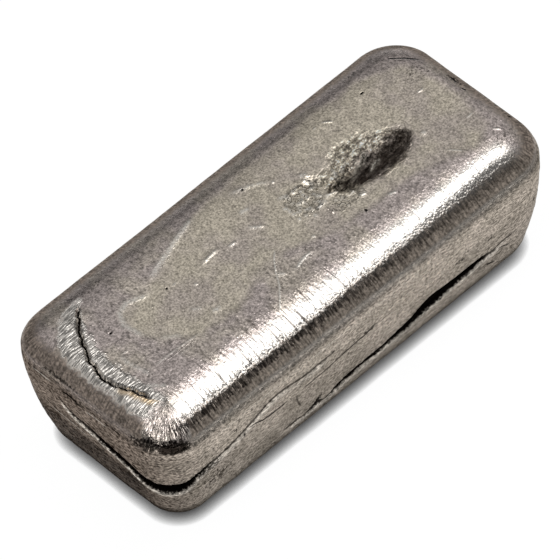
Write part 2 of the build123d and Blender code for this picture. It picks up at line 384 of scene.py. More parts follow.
def bar_skin():
    """Points in millimetres, outward directions, and faces of the closed skin, before any relief."""
    rows = skin_rows()
    points, outward = [], []
    for ring, level, tilt in rows:
        edge = outline(*ring)
        points.append(np.column_stack([edge[:, :2], np.full(len(edge), level)]))
        outward.append(np.column_stack([edge[:, 2:] * math.cos(tilt), np.full(len(edge), math.sin(tilt))]))
    count = len(points[0])
    faces = []
    for row in range(len(rows) - 1):
        for i in range(count):
            j = (i + 1) % count
            faces.append((row * count + i, (row + 1) * count + i, (row + 1) * count + j, row * count + j))
    for row, spacing, up in ((0, FACE_SPACING, True), (len(rows) - 1, BASE_SPACING, False)):
        inner, triangles = filled(points[row][:, :2], rows[row][0], spacing)
        start, base = row * count, sum(len(p) for p in points)
        levels = face_level(inner) if up else np.zeros(len(inner))
        points.append(np.column_stack([inner, levels]))
        outward.append(np.tile([0.0, 0.0, 1.0 if up else -1.0], (len(inner), 1)))
        for triangle in triangles:
            face = [start + i if i < count else base + i - count for i in triangle]
            faces.append(face if up else face[::-1])
    return np.concatenate(points), np.concatenate(outward), faces


def mouth_walk(points):
    """Run along the mouth from the middle of the near corner, and distance in from the mouth."""
    mouth_x, mouth_y = LENGTH / 2 - CORNER_RADIUS, WIDTH / 2 - CORNER_RADIUS
    arc = CORNER_RADIUS * math.pi / 2
    x, y = np.abs(points[:, 0]), np.abs(points[:, 1])
    level = np.minimum(points[:, 2], MOUTH)
    flat_x = LENGTH / 2 - wall_inset(level) - wall_radius(level)
    flat_y = WIDTH / 2 - wall_inset(level) - wall_radius(level)
    over_x, over_y = x - flat_x, y - flat_y
    turn = np.arctan2(np.maximum(over_y, 0), np.maximum(over_x, 0))
    # Distance from the middle of the near long side, round one quarter of the mouth
    on_corner = mouth_x + (math.pi / 2 - turn) * CORNER_RADIUS
    on_side = np.minimum(x / flat_x, 1) * mouth_x
    on_end = mouth_x + arc + mouth_y * (1 - np.minimum(y / flat_y, 1))
    quarter = np.where((over_x > 0) & (over_y > 0), on_corner, np.where(over_y > over_x, on_side, on_end))
    inward = -outside(points[:, :2], rim_ring(RIM_START))
    whole = mouth_x + arc + mouth_y
    walk = np.where(points[:, 1] < 0, np.where(points[:, 0] > 0, quarter, -quarter),
                    np.where(points[:, 0] > 0, 2 * whole - quarter, quarter - 2 * whole))
    near_corner = -(mouth_x + arc / 2)
    around = 4 * whole
    run = (walk - near_corner + around / 2) % around - around / 2
    return run, inward, around


def path_reach(points, path):
    """Signed distance to a path, how full it is there (0 at its ends, 1 between), and distance along it."""
    best = np.full(len(points), 1e9)
    signed = np.full(len(points), 1e9)
    along = np.zeros(len(points))
    start = 0.0
    for a, b in zip(np.array(path[:-1]), np.array(path[1:])):
        step = b - a
        size = np.linalg.norm(step)
        share = np.clip((points - a) @ step / size ** 2, 0, 1)
        gap = points - a - share[:, None] * step
        distance = np.linalg.norm(gap, axis=1)
        nearer = distance < best
        best = np.where(nearer, distance, best)
        turn = step[0] * gap[:, 1] - step[1] * gap[:, 0]
        signed = np.where(nearer, np.where(turn < 0, -distance, distance), signed)
        along = np.where(nearer, start + share * size, along)
        start += size
    taper = min(1.5, start / 3)
    return signed, smooth_step(0, taper, along) * smooth_step(0, taper, start - along), along


def within(points, corners):
    """Distance inside a closed outline, below 0 outside it."""
    closed = corners + corners[:1]
    gap = np.abs(path_reach(points, closed)[0])
    inside = np.zeros(len(points), bool)
    for (ax, ay), (bx, by) in zip(closed[:-1], closed[1:]):
        if ay != by:
            level_with = (points[:, 1] < ay) != (points[:, 1] < by)
            inside ^= level_with & (points[:, 0] < ax + (points[:, 1] - ay) * (bx - ax) / (by - ay))
    return np.where(inside, gap, -gap)


def spot(points, x, y, half_x, half_y, core=0.3):
    """Soft-edged oval: 1 in its middle, 0 outside it."""
    return 1 - smooth_step(core, 1.0, np.hypot((points[:, 0] - x) / half_x, (points[:, 1] - y) / half_y))


def strongest(points, there, ovals, core=0.3):
    """Strongest of some soft-edged ovals at each point."""
    shares = [strength * spot(points, *oval, core) for *oval, strength in ovals]
    return np.where(there, np.max(shares, axis=0), 0)


def specks():
    """Small burrs scattered beside the pit, as short ripples."""
    pick = np.random.default_rng(7)
    half_width, height = 0.25, 0.14
    made = []
    for x, y, turn, size in pick.uniform((2.6, -1.6, 0, 0.5), (7.4, 3.6, math.pi, 1.1), (34, 4)):
        reach = (size / 2 * math.cos(turn), size / 2 * math.sin(turn))
        path = [(x - reach[0], y - reach[1]), (x + reach[0], y + reach[1])]
        made.append((path, half_width, height))
    return made


def fold_relief(run, level, closed):
    """Offset of the folds, place across the nearest one's mouth (1 at its upper lip, -1 at its lower),
    its depth there, and the ledge below it, which painted light brightens. No fold cuts where it is closed."""
    offset, nearest_depth, ledge = np.zeros((3, len(run)))
    nearest = np.full(len(run), 9.0)
    for fold in (CORNER_FOLD, LONG_FOLD, SPUR):
        centre, opening, depth = (through(run, fold[:, 0], fold[:, i]) for i in (1, 2, 3))
        depth = np.where(closed | (run < fold[0, 0]) | (run > fold[-1, 0]), 0, np.maximum(depth, 0))
        across = (level - centre) / (opening / 2)
        above = (across - 1) * opening / 2
        below = -(across + 1) * opening / 2
        # The upper lip stands square over the groove, and the lower one slopes out
        groove = np.where(across > 0, 1 - np.clip(across, 0, 1) ** 5,
                          1 - np.clip(-across / 1.15, 0, 1) ** 1.5)
        lips = np.exp(-((below - 0.5) / 0.35) ** 2) + 0.6 * np.exp(-(above - 0.3) ** 2 / 0.06)
        # Where a fold is too thin for the mesh, its painted shade alone draws it
        offset += depth * (FOLD_LIP_RISE * lips - groove * smooth_step(0.1, 0.9, opening))
        ledge = np.maximum(ledge, smooth_step(0.2, 0.6, depth) * smooth_step(-0.1, 0.25, below)
                           * smooth_step(1.4, 0.6, below))
        closer = (depth > 0) & (np.abs(across) < np.abs(nearest))
        nearest = np.where(closer, across, nearest)
        nearest_depth = np.where(closer, depth, nearest_depth)
    return offset, nearest, nearest_depth, ledge


def crack_relief(plan, on_face):
    """Offset of the crescent crack and its raised lips, signed distance from it, how full it is there,
    and distance inside its combed lips."""
    gap, taper, along = path_reach(plan, CRACK)
    gap = np.where(on_face, gap + 0.06 * np.sin(along * 4.1) + 0.03 * np.sin(along * 8.3 + 1.0), 99)
    combed = np.where(on_face, within(plan, COMBED), -9)
    half = CRACK_OPENING / 2 * (0.4 + 0.6 * taper)
    cut = CRACK_DEPTH * taper * np.clip(1 - np.abs(gap) / (half + 0.1), 0, 1) ** 0.7
    lips = CRACK_LIP_RISE * smooth_step(-0.5, 0.8, combed) * smooth_step(0.2, 0.6, np.abs(gap))
    return lips - cut, gap, taper, combed


def pit_relief(plan, on_face):
    """Offset of the shrinkage pit and the hollows beside it, and distance inside the pit."""
    x, y = plan.T
    wander = 0.1 * np.sin(2.3 * x + 1.7 * y) + 0.08 * np.sin(3.9 * x - 3.1 * y + 1.0)
    pit = np.where(on_face, within(plan, PIT) + wander, -9)
    beyond_line = path_reach(plan, PIT_LINE)[0]
    bowl = np.clip(pit, 0, None) / (np.clip(pit, 0, None) + np.abs(beyond_line) + 1e-6)
    # The far wall slopes gently from the face, and the near one steeply
    bowl **= 1.15 + 0.75 * smooth_step(-0.3, 0.8, beyond_line)
    offset = -PIT_DEPTH * (0.5 + 0.5 * smooth_step(8.5, 12.0, x)) * smooth_step(0, 1, bowl)
    for *oval, depth in HOLLOWS:
        offset -= np.where(on_face, depth * spot(plan, *oval, 0.1), 0)
    return offset, pit


def ripple_relief(plan, on_face):
    """Offset of the ripples and burrs, and how bright their crests are, partly as worn bright metal and
    partly as a painted highlight.
    """
    offset, crest_wear_and_highlight = np.zeros((2, len(plan)))
    for path, half_width, height in RIPPLES + specks():
        gap, taper, _ = path_reach(plan, path)
        crest = np.where(on_face, taper * np.exp(-(gap / half_width) ** 2), 0)
        offset += height * crest
        crest_wear_and_highlight = np.maximum(crest_wear_and_highlight, min(height / 0.14, 1) * crest ** 1.5)
    return offset, crest_wear_and_highlight


def fine_marks(plan, wall_place, on_face):
    """Signed distance from the nearest fine mark, and its depth. The finish draws their lines."""
    gap = np.full(len(plan), 9.0)
    depth = np.zeros(len(plan))
    # Narrow ripples get a painted highlight along their crests, drawn as a scratch's light line
    crests = [(path, -CREST_SHINE * height) for path, half_width, height in RIPPLES if half_width < 0.3]
    for places, marks, there in ((plan, FACE_MARKS + crests, on_face), (wall_place, WALL_MARKS, ~on_face)):
        for path, mark_depth in marks:
            away, taper, _ = path_reach(places, path)
            closer = there & (np.abs(away) < np.abs(gap))
            gap = np.where(closer, away, gap)
            depth = np.where(closer, mark_depth * taper, depth)
    return gap, depth


def add_rim_walk(mesh, run, inward, around):
    """Run along the mouth and distance in from it, in millimetres, as the UV map of what follows the rim."""
    corners = np.empty(len(mesh.loops), int)
    mesh.loops.foreach_get("vertex_index", corners)
    starts = np.empty(len(mesh.polygons), int)
    mesh.polygons.foreach_get("loop_start", starts)
    sizes = np.diff(np.append(starts, len(corners)))
    corner_run = run[corners]
    lowest = np.repeat(np.minimum.reduceat(corner_run, starts), sizes)
    highest = np.repeat(np.maximum.reduceat(corner_run, starts), sizes)
    over_the_start = (highest - lowest > around / 2) & (corner_run < 0)
    corner_run = np.where(over_the_start, corner_run + around, corner_run)
    walk = mesh.uv_layers.new(name="rim_walk")
    walk.data.foreach_set("uv", np.column_stack([corner_run, inward[corners]]).ravel())


def bar_mesh():
    """The bar as a closed mesh with its folds, crack and pit, and the masks that its finish reads."""
    points, outward, faces = bar_skin()
    plan, level = points[:, :2], points[:, 2]
    x, y = plan.T
    run, inward, around = mouth_walk(points)
    wall_place = np.column_stack([run, level])
    on_face = level > MOUTH + 0.3

    folds, fold_across, fold_depth, ledge = fold_relief(run, level, on_face | (level < 0.8))
    crack, crack_gap, crack_taper, combed = crack_relief(plan, on_face)
    hollow, pit = pit_relief(plan, on_face)
    ripples, crest_wear_and_highlight = ripple_relief(plan, on_face)
    mark_gap, mark_depth = fine_marks(plan, wall_place, on_face)
    pool = np.where(on_face, within(plan, POOL), -9)
    pool_step = POOL_STEP * smooth_step(-0.3, 0.3, pool)
    # The near rim starts further in towards the near end, and is narrower towards the far end
    rim_sag = (NEAR_RIM_SAG * smooth_step(15, -25, x) * smooth_step(-6.5, -11.0, y)
               + FAR_RIM_SAG * smooth_step(0, 25, x) * smooth_step(-9.5, -12.5, y))
    rounding = MOUTH_ROUNDING * np.exp(-((level - MOUTH) / 0.7) ** 2)
    offset = folds + crack + hollow + ripples - pool_step - np.where(on_face, rim_sag, 0) - rounding

    near_end = smooth_step(-2, -5, run) * smooth_step(-26, -22, run)
    ribbed = np.where(y < 0, 0.5 + 0.5 * smooth_step(12, -8, x), 0.35) * smooth_step(27, 24, x)
    stain_and_dark_reflection = np.maximum(strongest(plan, on_face, FACE_STAINS, 0.5),
                       strongest(wall_place, level < 18.6, WALL_STAINS_AND_REFLECTIONS, 0.5))
    glossy = np.where(level > 15, spot(plan, *GLOSSY_CORNER, 0.45), 0)
    masks = dict(
        chill=np.where(level > MOUTH, smooth_step(0.9, 0.0, inward), 1.0),    # moulded skin of the walls
        fold_across=fold_across, fold_depth=fold_depth, ledge=ledge,
        crack_gap=crack_gap, crack_taper=crack_taper, combed=combed,
        pit=pit, crystals=np.maximum(strongest(plan, on_face, CRYSTALS), smooth_step(0.2, 1.4, pit)),
        crest_wear_and_highlight=crest_wear_and_highlight, beaded=strongest(plan, on_face, BEADS), pool=pool,
        mark_gap=mark_gap, mark_depth=mark_depth, stain_and_dark_reflection=stain_and_dark_reflection,
        ribbed=ribbed * (1 - 0.7 * near_end),                 # how strongly ribs cross the rim
        near_side=smooth_step(2, 6, run) * smooth_step(62, 56, run),
        glossy=glossy)                                        # bright skin at the near corner
    mesh = bpy.data.meshes.new("bar_skin")
    mesh.from_pydata((points + outward * offset[:, None]) * MM, [], faces)
    for name, values in masks.items():
        mesh.attributes.new(name, "FLOAT", "POINT").data.foreach_set("value", values)
    add_rim_walk(mesh, run, inward, around)
    return mesh


def relief_tree(material):
    """Geometry nodes that add the cast relief which repeats over the skin."""
    tree = bpy.data.node_groups.new("cast_relief", "GeometryNodeTree")
    face = tree.interface
    face.new_socket("Geometry", in_out="INPUT", socket_type="NodeSocketGeometry")
    for name in RELIEF_SIZES:
        face.new_socket(name, in_out="INPUT", socket_type="NodeSocketFloat")
    face.new_socket("Geometry", in_out="OUTPUT", socket_type="NodeSocketGeometry")
    given = node(tree, "NodeGroupInput").outputs
    place = node(tree, "GeometryNodeInputPosition").outputs[0]

    def masked(name):
        return node(tree, "GeometryNodeInputNamedAttribute", {"Name": name}, data_type="FLOAT").outputs[0]

    def maths(kind, a, b):
        return node(tree, "ShaderNodeMath", {0: a, 1: b}, operation=kind).outputs[0]

    def times(a, b):
        return maths("MULTIPLY", a, b)

    def noise(size, detail, shift, vector=place):
        """Noise from -0.5 to 0.5 whose lumps are about that size."""
        made = node(tree, "ShaderNodeTexNoise", {
            "Vector": vector, "W": maths("ADD", given["Seed"], shift), "Scale": maths("DIVIDE", 1.0, size),
            "Detail": detail}, noise_dimensions="4D")
        return maths("SUBTRACT", made.outputs[0], 0.5)

    # Gentle swells, always inwards of the moulded size
    swell = times(maths("SUBTRACT", noise(given["Swell Size"], 1.0, 0.0), 0.25), given["Swell Height"])
    # Pocks and flat wavy layers where the metal chilled against the mould
    pocks = times(noise(given["Pock Size"], 3.0, 7.0), given["Pock Depth"])
    flattened = node(tree, "ShaderNodeVectorMath", {0: place, 1: (0.25, 0.25, 1.0)},
                     operation="MULTIPLY").outputs[0]
    layers = times(noise(times(given["Pock Size"], 1.4), 2.0, 3.0, flattened), given["Pock Depth"])
    walls = times(maths("ADD", pocks, times(layers, 1.6)), masked("chill"))
    # Crystals and lumps that stand in the shrinkage pit
    cells = node(tree, "ShaderNodeTexVoronoi", {
        "Vector": place, "W": given["Seed"], "Scale": maths("DIVIDE", 1.0, given["Crystal Size"]),
        "Randomness": 1.0}, voronoi_dimensions="4D", feature="F1").outputs["Distance"]
    crystals = times(times(maths("SUBTRACT", 0.45, cells), given["Crystal Height"]), masked("crystals"))
    lumps = times(times(noise(given["Lump Size"], 1.0, 21.0), given["Lump Height"]), masked("crystals"))
    height = maths("ADD", maths("ADD", swell, walls), maths("ADD", crystals, lumps))
    above_base = node(tree, "ShaderNodeMapRange", {
        "Value": node(tree, "ShaderNodeSeparateXYZ", {0: place}).outputs["Z"], "From Min": 0.0,
        "From Max": 1.5 * MM}).outputs[0]
    shift = node(tree, "ShaderNodeVectorMath", {
        0: node(tree, "GeometryNodeInputNormal").outputs[0],
        "Scale": times(height, above_base)}, operation="SCALE").outputs[0]
    moved = node(tree, "GeometryNodeSetPosition", {"Geometry": given["Geometry"], "Offset": shift})
    smooth = node(tree, "GeometryNodeSetShadeSmooth", {"Geometry": moved.outputs[0]})
    real = node(tree, "GeometryNodeRealizeInstances", {0: smooth.outputs[0]})
    dressed = node(tree, "GeometryNodeSetMaterial", {"Geometry": real.outputs[0], "Material": material})
    node(tree, "NodeGroupOutput", {"Geometry": dressed.outputs[0]})
    return tree


def silver_bar(material):
    """The whole bar: skin with folds, crack and pit, then cast relief, applied to a plain mesh."""
    rough = placed("bar_rough", bar_mesh())
    relief = rough.modifiers.new("cast_relief", "NODES")
    relief.node_group = relief_tree(material)
    for item in relief.node_group.interface.items_tree:
        if item.name in RELIEF_SIZES:
            relief[item.identifier] = RELIEF_SIZES[item.name]
    mesh = bpy.data.meshes.new_from_object(rough.evaluated_get(bpy.context.evaluated_depsgraph_get()))
    rough_mesh = rough.data
    bpy.data.objects.remove(rough)
    bpy.data.meshes.remove(rough_mesh)
    mesh.name = "silver_bar"
    # Nothing stands past the moulded size
    co = np.empty(len(mesh.vertices) * 3)
    mesh.vertices.foreach_get("co", co)
    co = np.clip(co.reshape(-1, 3), np.array(cad_low), np.array(cad_high))
    mesh.vertices.foreach_set("co", co.ravel())
    mesh.update()
    bar = placed("silver_bar", mesh)
    return bar


# Finishes

def cast_silver():
    """Fine silver as cast: dull warm grey with faint yellow and purple tarnish, grainy where the mould
    chilled it, brighter through a painted highlight and finely ribbed on the poured rim, with painted shade
    on rim, walls and pit, and nearly black painted shade in its folds."""
    material = bpy.data.materials.new("cast_silver")
    material.use_nodes = True
    tree = material.node_tree
    tree.nodes.clear()
    place = node(tree, "ShaderNodeVectorMath", {
        0: node(tree, "ShaderNodeTexCoord").outputs["Object"], "Scale": 1 / MM}, operation="SCALE").outputs[0]
    axes = node(tree, "ShaderNodeSeparateXYZ", {0: place}).outputs
    walk = node(tree, "ShaderNodeUVMap", uv_map="rim_walk").outputs[0]
    walked = node(tree, "ShaderNodeSeparateXYZ", {0: walk}).outputs
    x, y, level, run, inward = axes["X"], axes["Y"], axes["Z"], walked["X"], walked["Y"]

    def mask(name):
        return node(tree, "ShaderNodeAttribute", attribute_name=name).outputs["Fac"]

    def maths(kind, a, b=0):
        return node(tree, "ShaderNodeMath", {0: a, 1: b}, operation=kind).outputs[0]

    def joined(kind, first, *others):
        for other in others:
            first = maths(kind, first, other)
        return first

    def both(*shares):
        return joined("MULTIPLY", *shares)

    def total(*parts):
        return joined("ADD", *parts)

    def most(*shares):
        return joined("MAXIMUM", *shares)

    def rest(share):
        return maths("SUBTRACT", 1, share)

    def spread(value, low, high, to_low=0, to_high=1):
        return node(tree, "ShaderNodeMapRange", {
            "Value": value, "From Min": low, "From Max": high, "To Min": to_low, "To Max": to_high},
            interpolation_type="SMOOTHSTEP").outputs[0]

    def noise(size, detail=2, vector=place, shift=0):
        """Noise from 0 to 1 whose lumps are about that many millimetres."""
        return node(tree, "ShaderNodeTexNoise", {
            "Vector": vector, "W": shift, "Scale": 1 / size, "Detail": detail},
            noise_dimensions="4D").outputs[0]

    def blend(share, a, b):
        a, b = (linear(part) if isinstance(part, str) else part for part in (a, b))
        return node(tree, "ShaderNodeMix", {"Factor": share, 6: a, 7: b}, data_type="RGBA").outputs[2]

    def shaded(colour, share):
        return node(tree, "ShaderNodeVectorMath", {0: colour, "Scale": share}, operation="SCALE").outputs[0]

    def vector(a, b, c):
        return node(tree, "ShaderNodeCombineXYZ", {0: a, 1: b, 2: c}).outputs[0]

    chill, pool, pit, crystals = mask("chill"), mask("pool"), mask("pit"), mask("crystals")
    near_side, ribbed, stain_and_dark_reflection = mask("near_side"), mask("ribbed"), mask("stain_and_dark_reflection")
    speckle = noise(0.3, 2, shift=9)
    coarse = noise(0.9, 2, shift=4)
    on_top = spread(chill, 0.7, 0.1)
    glossy = spread(total(mask("glossy"), both(coarse, 0.5)), 0.45, 0.7)
    dull_share = rest(glossy)

    # Fine ribs across the rim, where the freezing skin drew back: 0.33 mm apart, drawn out to 1.5 mm
    along_rim = vector(run, both(inward, 0.22), 0)
    ribs = noise(0.33, 1, along_rim)
    hairs = noise(0.5, 0, vector(run, both(inward, 0.12), 0), 5)
    on_rim = both(spread(inward, 7.6, 5.2), on_top, ribbed)
    ragged = total(inward, both(ribs, 0.9), both(speckle, 0.9))
    # Painted dark reflection: a striated band below the highlight of the near side
    painted_dark_band = both(spread(ragged, 2.05, 2.5), spread(ragged, 3.6, 3.1), near_side,
                   spread(x, 28, -14, 0.35, 1))
    # Brown outer part of the rim
    outer_rim = both(spread(ragged, 3.75, 2.4), on_top, dull_share)

    # Ribs that comb both lips of the crescent crack: 0.25 mm apart, along the bar
    crack_side = mask("crack_gap")
    crack_gap = maths("ABSOLUTE", crack_side)
    comb = noise(0.25, 1.5, vector(both(x, 0.2), y, 0), 3)
    combed = spread(total(mask("combed"), both(coarse, 1.6), both(speckle, 0.8)), 0.8, 1.4)
    in_crack = both(spread(total(crack_gap, both(speckle, 0.16)), 0.23, 0.15), mask("crack_taper"))

    # Painted shade inside the folds, crisp along the upper lip, and painted light on the ledge below them
    across = mask("fold_across")
    worn = total(across, both(speckle, 0.5))
    folded = both(spread(mask("fold_depth"), 0.05, 0.3), spread(mask("fold_depth"), 0.4, 0.9, 0.75, 1))
    in_fold = both(spread(worn, 1.4, 1.2), spread(worn, -1.1, -0.8), folded)

    # Fine cracks and scratches
    mark_depth = mask("mark_depth")
    mark_gap = maths("ABSOLUTE", mask("mark_gap"))
    in_mark = both(spread(mark_gap, 0.2, 0.08), spread(mark_depth, 0.01, 0.06))
    scratch_and_crest_shine = both(spread(total(mark_gap, both(speckle, 0.2)), 0.25, 0.13),
                      spread(mark_depth, -0.005, -0.05))

    grain = noise(0.26, 2)
    # Beads of metal beside the pit, 0.4 mm across, and wrinkles 0.5 mm apart along its walls
    bead_field = noise(0.4, 0, shift=19)
    beaded = spread(mask("beaded"), 0.1, 0.5)
    beads = both(spread(bead_field, 0.55, 0.63), beaded)
    shade_between_beads = both(spread(bead_field, 0.44, 0.36), beaded)
    wrinkles = noise(0.5, 3, vector(both(x, 0.45), y, level), 23)
    mottle = noise(0.32, 2, vector(x, both(y, 0.6), level), 11)
    # Granules of the wall, and the faint layers that run along it
    granules = noise(0.26, 3, vector(both(total(run, both(level, 0.3)), 0.5), level, level), 13)
    layers = noise(0.6, 2, vector(both(run, 0.1), 0, level), 17)
    outside_pool = spread(pool, 0.6, -0.8)
    in_pit = spread(total(pit, both(coarse, 0.8)), 0.3, 1.3)
    rough_spots = most(in_pit, crystals)

    # Relief too fine for the mesh, in millimetres
    height = both(grain, spread(chill, 0, 1, 0.05, 0.12), spread(inward, 5, 6.5, 0.6, 1))
    height = total(height,
                   both(mottle, spread(outside_pool, 0, 1, 0.03, 0.09), spread(inward, 4.5, 6.5), on_top),
                   both(coarse, spread(chill, 0, 1, 0.03, 0.12), spread(inward, 5, 6.5, 0.5, 1)),
                   both(granules, spread(chill, 0, 1, 0, 0.17)),
                   both(layers, spread(chill, 0, 1, 0, 0.22)),
                   both(maths("SUBTRACT", speckle, 0.5), rough_spots, 0.16),
                   both(maths("SUBTRACT", wrinkles, 0.5), rough_spots, 0.8),
                   both(beads, 0.26),
                   both(ribs, on_rim, 0.13),
                   both(ribs, painted_dark_band, 0.08),
                   both(comb, combed, 0.2))
    height = maths("SUBTRACT", height, both(spread(mark_gap, 0.28, 0), mark_depth))
    bump = node(tree, "ShaderNodeBump", {"Height": height, "Distance": MM, "Strength": 1}).outputs[0]

    # Colour of the poured face
    patches = noise(5, 3, shift=2)
    tarnish = noise(3, 4, shift=8)
    fine = noise(0.22, 4, shift=15)
    colour = blend(spread(patches, 0.42, 0.66), "#d2c8b7", "#c5bab0")
    colour = blend(both(outside_pool, spread(patches, 0.35, 0.6, 0.4, 1)), colour, "#c6bab5")
    colour = shaded(colour, both(spread(fine, 0.3, 0.7, 1.4, 0.6), spread(coarse, 0.35, 0.65, 1.06, 0.93)))
    dappled = both(mottle, spread(outside_pool, 0, 1, 0.88, 1))
    colour = shaded(colour, spread(dappled, 0.44, 0.74, 1.04, 0.5))
    # Rim: a painted highlight makes it whiter on the near side where it shines; brown outside, and darker on
    # the far side and ends than on the near side as painted shade
    colour = blend(both(spread(inward, 5.5, 4.2), near_side, 0.8), colour, "#dad6d0")
    brown_rim = blend(near_side, "#a0948a", "#b8ab9e")
    brown_rim = shaded(brown_rim, both(spread(ribs, 0.3, 0.7, 1.3, 0.65),
                                       spread(speckle, 0.36, 0.64, 1.25, 0.6)))
    colour = blend(outer_rim, colour, brown_rim)
    # Painted dark reflection: a band along the far rim
    far_edge = total(y, both(ribs, 0.8))
    far_dark_reflection = both(spread(far_edge, 10.2, 10.9), spread(far_edge, 12.6, 12))
    colour = shaded(colour, spread(far_dark_reflection, 0, 1, 1, 0.72))
    # Painted highlight whitening the combed lips
    colour = blend(both(combed, 0.9), colour, "#f6f0e8")
    # Crests of ripples and burrs: partly worn bright metal, partly a painted highlight
    colour = blend(both(mask("crest_wear_and_highlight"), spread(speckle, 0.38, 0.55, 0.2, 0.85)), colour, "#f4f0e8")
    # Painted shade in the grooves between the comb's ribs
    colour = shaded(colour, spread(both(combed, rest(comb)), 0.4, 0.58, 1, 0.36))
    # Painted highlight on the beads, and painted shade between them
    colour = blend(both(beads, 0.4), colour, "#e9e2d6")
    colour = shaded(colour, spread(shade_between_beads, 0, 1, 1, 0.5))
    stripes = spread(total(ribs, both(speckle, 0.4)), 0.56, 0.84)
    # Painted dark reflection band below the near highlight, striated
    colour = blend(both(painted_dark_band, 0.9), colour, blend(stripes, "#9a8f85", "#1f1916"))
    # Walls: lightest along the long side; brown tarnish with painted shade at the near end, darkest low down
    # there, and painted shade darkening them towards and along their bottom
    to_end = both(spread(run, 7, -6), spread(run, -30, -22))
    dull = blend(spread(tarnish, 0.35, 0.65), "#aea499", "#bdb3a6")
    # Near end: brown tarnish, darkened further as painted shade
    dull = blend(to_end, dull, "#84786e")
    # Painted shade on the near end's lower wall, below its fold
    dull = blend(both(spread(run, -2, -6), to_end, spread(total(level, both(coarse, 3)), 11, 9.4)),
                 dull, blend(spread(granules, 0.4, 0.62), "#625850", "#2b2420"))
    # Painted light on the ledge below the folds
    dull = blend(both(mask("ledge"), 0.9), dull, "#ded6cb")
    # Grain, tarnish and layers of the skin, with painted shade along the line of the mouth
    skin_grain_and_shade = both(spread(granules, 0.33, 0.68, spread(to_end, 0, 1, 1.35, 1.7),
                            spread(to_end, 0, 1, 0.5, 0.2)),
                     spread(both(speckle, spread(to_end, 0, 1, 0.95, 1)), 0.42, 0.66, 1.05, 0.5),
                     spread(tarnish, 0.3, 0.7, 1.25, 0.78), spread(layers, 0.35, 0.65, 1.12, 0.86),
                     spread(maths("ABSOLUTE", maths("SUBTRACT", level, 16.3)), 0.9, 0.1, 1, 0.78))
    # Painted shade, darkening the walls towards their bottom
    dull = shaded(dull, both(skin_grain_and_shade, spread(level, 15.5, 4, 1.15, 0.72)))
    # Painted shade, nearly black, along the bottom of the walls
    painted_foot_shade = both(spread(total(level, coarse), 4.6, 2.2), spread(to_end, 0, 1, 0.6, 0.9))
    dull = blend(painted_foot_shade, dull, "#1d1916")
    colour = blend(chill, colour, dull)
    # Pit: brown along its near wall, with painted shade in the valleys between its crystals and a painted
    # highlight on their ridges
    brown = both(spread(total(pit, both(coarse, 1.6)), 0.5, 2.4),
                 spread(total(y, both(x, -0.06), both(coarse, 2.6)), 1.9, 0.2))
    colour = blend(rough_spots, colour, shaded(colour, both(spread(speckle, 0.38, 0.62, 1.35, 0.6),
                                                            spread(wrinkles, 0.38, 0.6, 0.5, 1.6))))
    colour = blend(both(brown, 0.92), colour, "#2a211b")
    # Crests in the pit: partly worn bright metal, partly a painted highlight
    colour = blend(both(mask("crest_wear_and_highlight"), in_pit, 0.7), colour, "#d9d0c2")
    # Straw tint beside the crack's near tip
    straw = both(spread(crack_gap, 1.3, 0.5), spread(crack_side, 0, -0.3),
                 spread(y, -2.6, -4.2), spread(y, -8.6, -7.2))
    colour = blend(both(straw, 0.6), colour, "#d9b98a")
    hair_lines = both(spread(hairs, 0.37, 0.29), on_rim, spread(ribbed, 0.4, 0.9))
    colour = blend(both(hair_lines, 0.75), colour, "#4a423c")
    # Light lines of scratches, and painted highlights along the crests of narrow ripples
    colour = blend(both(scratch_and_crest_shine, 0.8), colour, "#e8e3da")
    # Stains, and painted dark reflections at the top of the near corner
    dark_stain_and_reflection = both(spread(stain_and_dark_reflection, 0, 0.2), spread(total(speckle, both(stain_and_dark_reflection, 0.55)), 0.6, 0.8))
    colour = blend(both(dark_stain_and_reflection, spread(stain_and_dark_reflection, 0.3, 0.9, 0.75, 1)), colour, "#17110d")
    # Painted shade, nearly black, inside the folds, the crack and the fine cracks
    colour = blend(most(in_fold, in_crack, in_mark), colour, "#0a0705")
    roughness = total(spread(chill, 0, 1, 0.22, 0.44), both(speckle, 0.1),
                      both(outer_rim, 0.1), both(rough_spots, 0.22),
                      both(spread(inward, 5.5, 4.2), near_side, -0.08), spread(level, 4, 2, 0, 0.3),
                      both(outer_rim, rest(near_side), 0.35))
    roughness = both(roughness, spread(glossy, 0, 1, 1, 0.35))
    # Dull skin stays dull where it is seen edge on; painted shade darkens this edge tint at the near end and
    # towards the bottom
    edge_on = blend(most(chill, outer_rim), "#ffffff",
                    shaded(blend(to_end, "#d8d4d0", "#c0bcb8"),
                           both(spread(skin_grain_and_shade, 0.3, 1.2, 0.6, 1.15), spread(level, 3.6, 1.4, 1, 0.35))))
    shader = node(tree, "ShaderNodeBsdfPrincipled", {
        "Base Color": colour, "Metallic": 1, "Roughness": roughness, "Specular Tint": edge_on,
        "Normal": bump})
    node(tree, "ShaderNodeOutputMaterial", {"Surface": shader.outputs[0]})
    return material


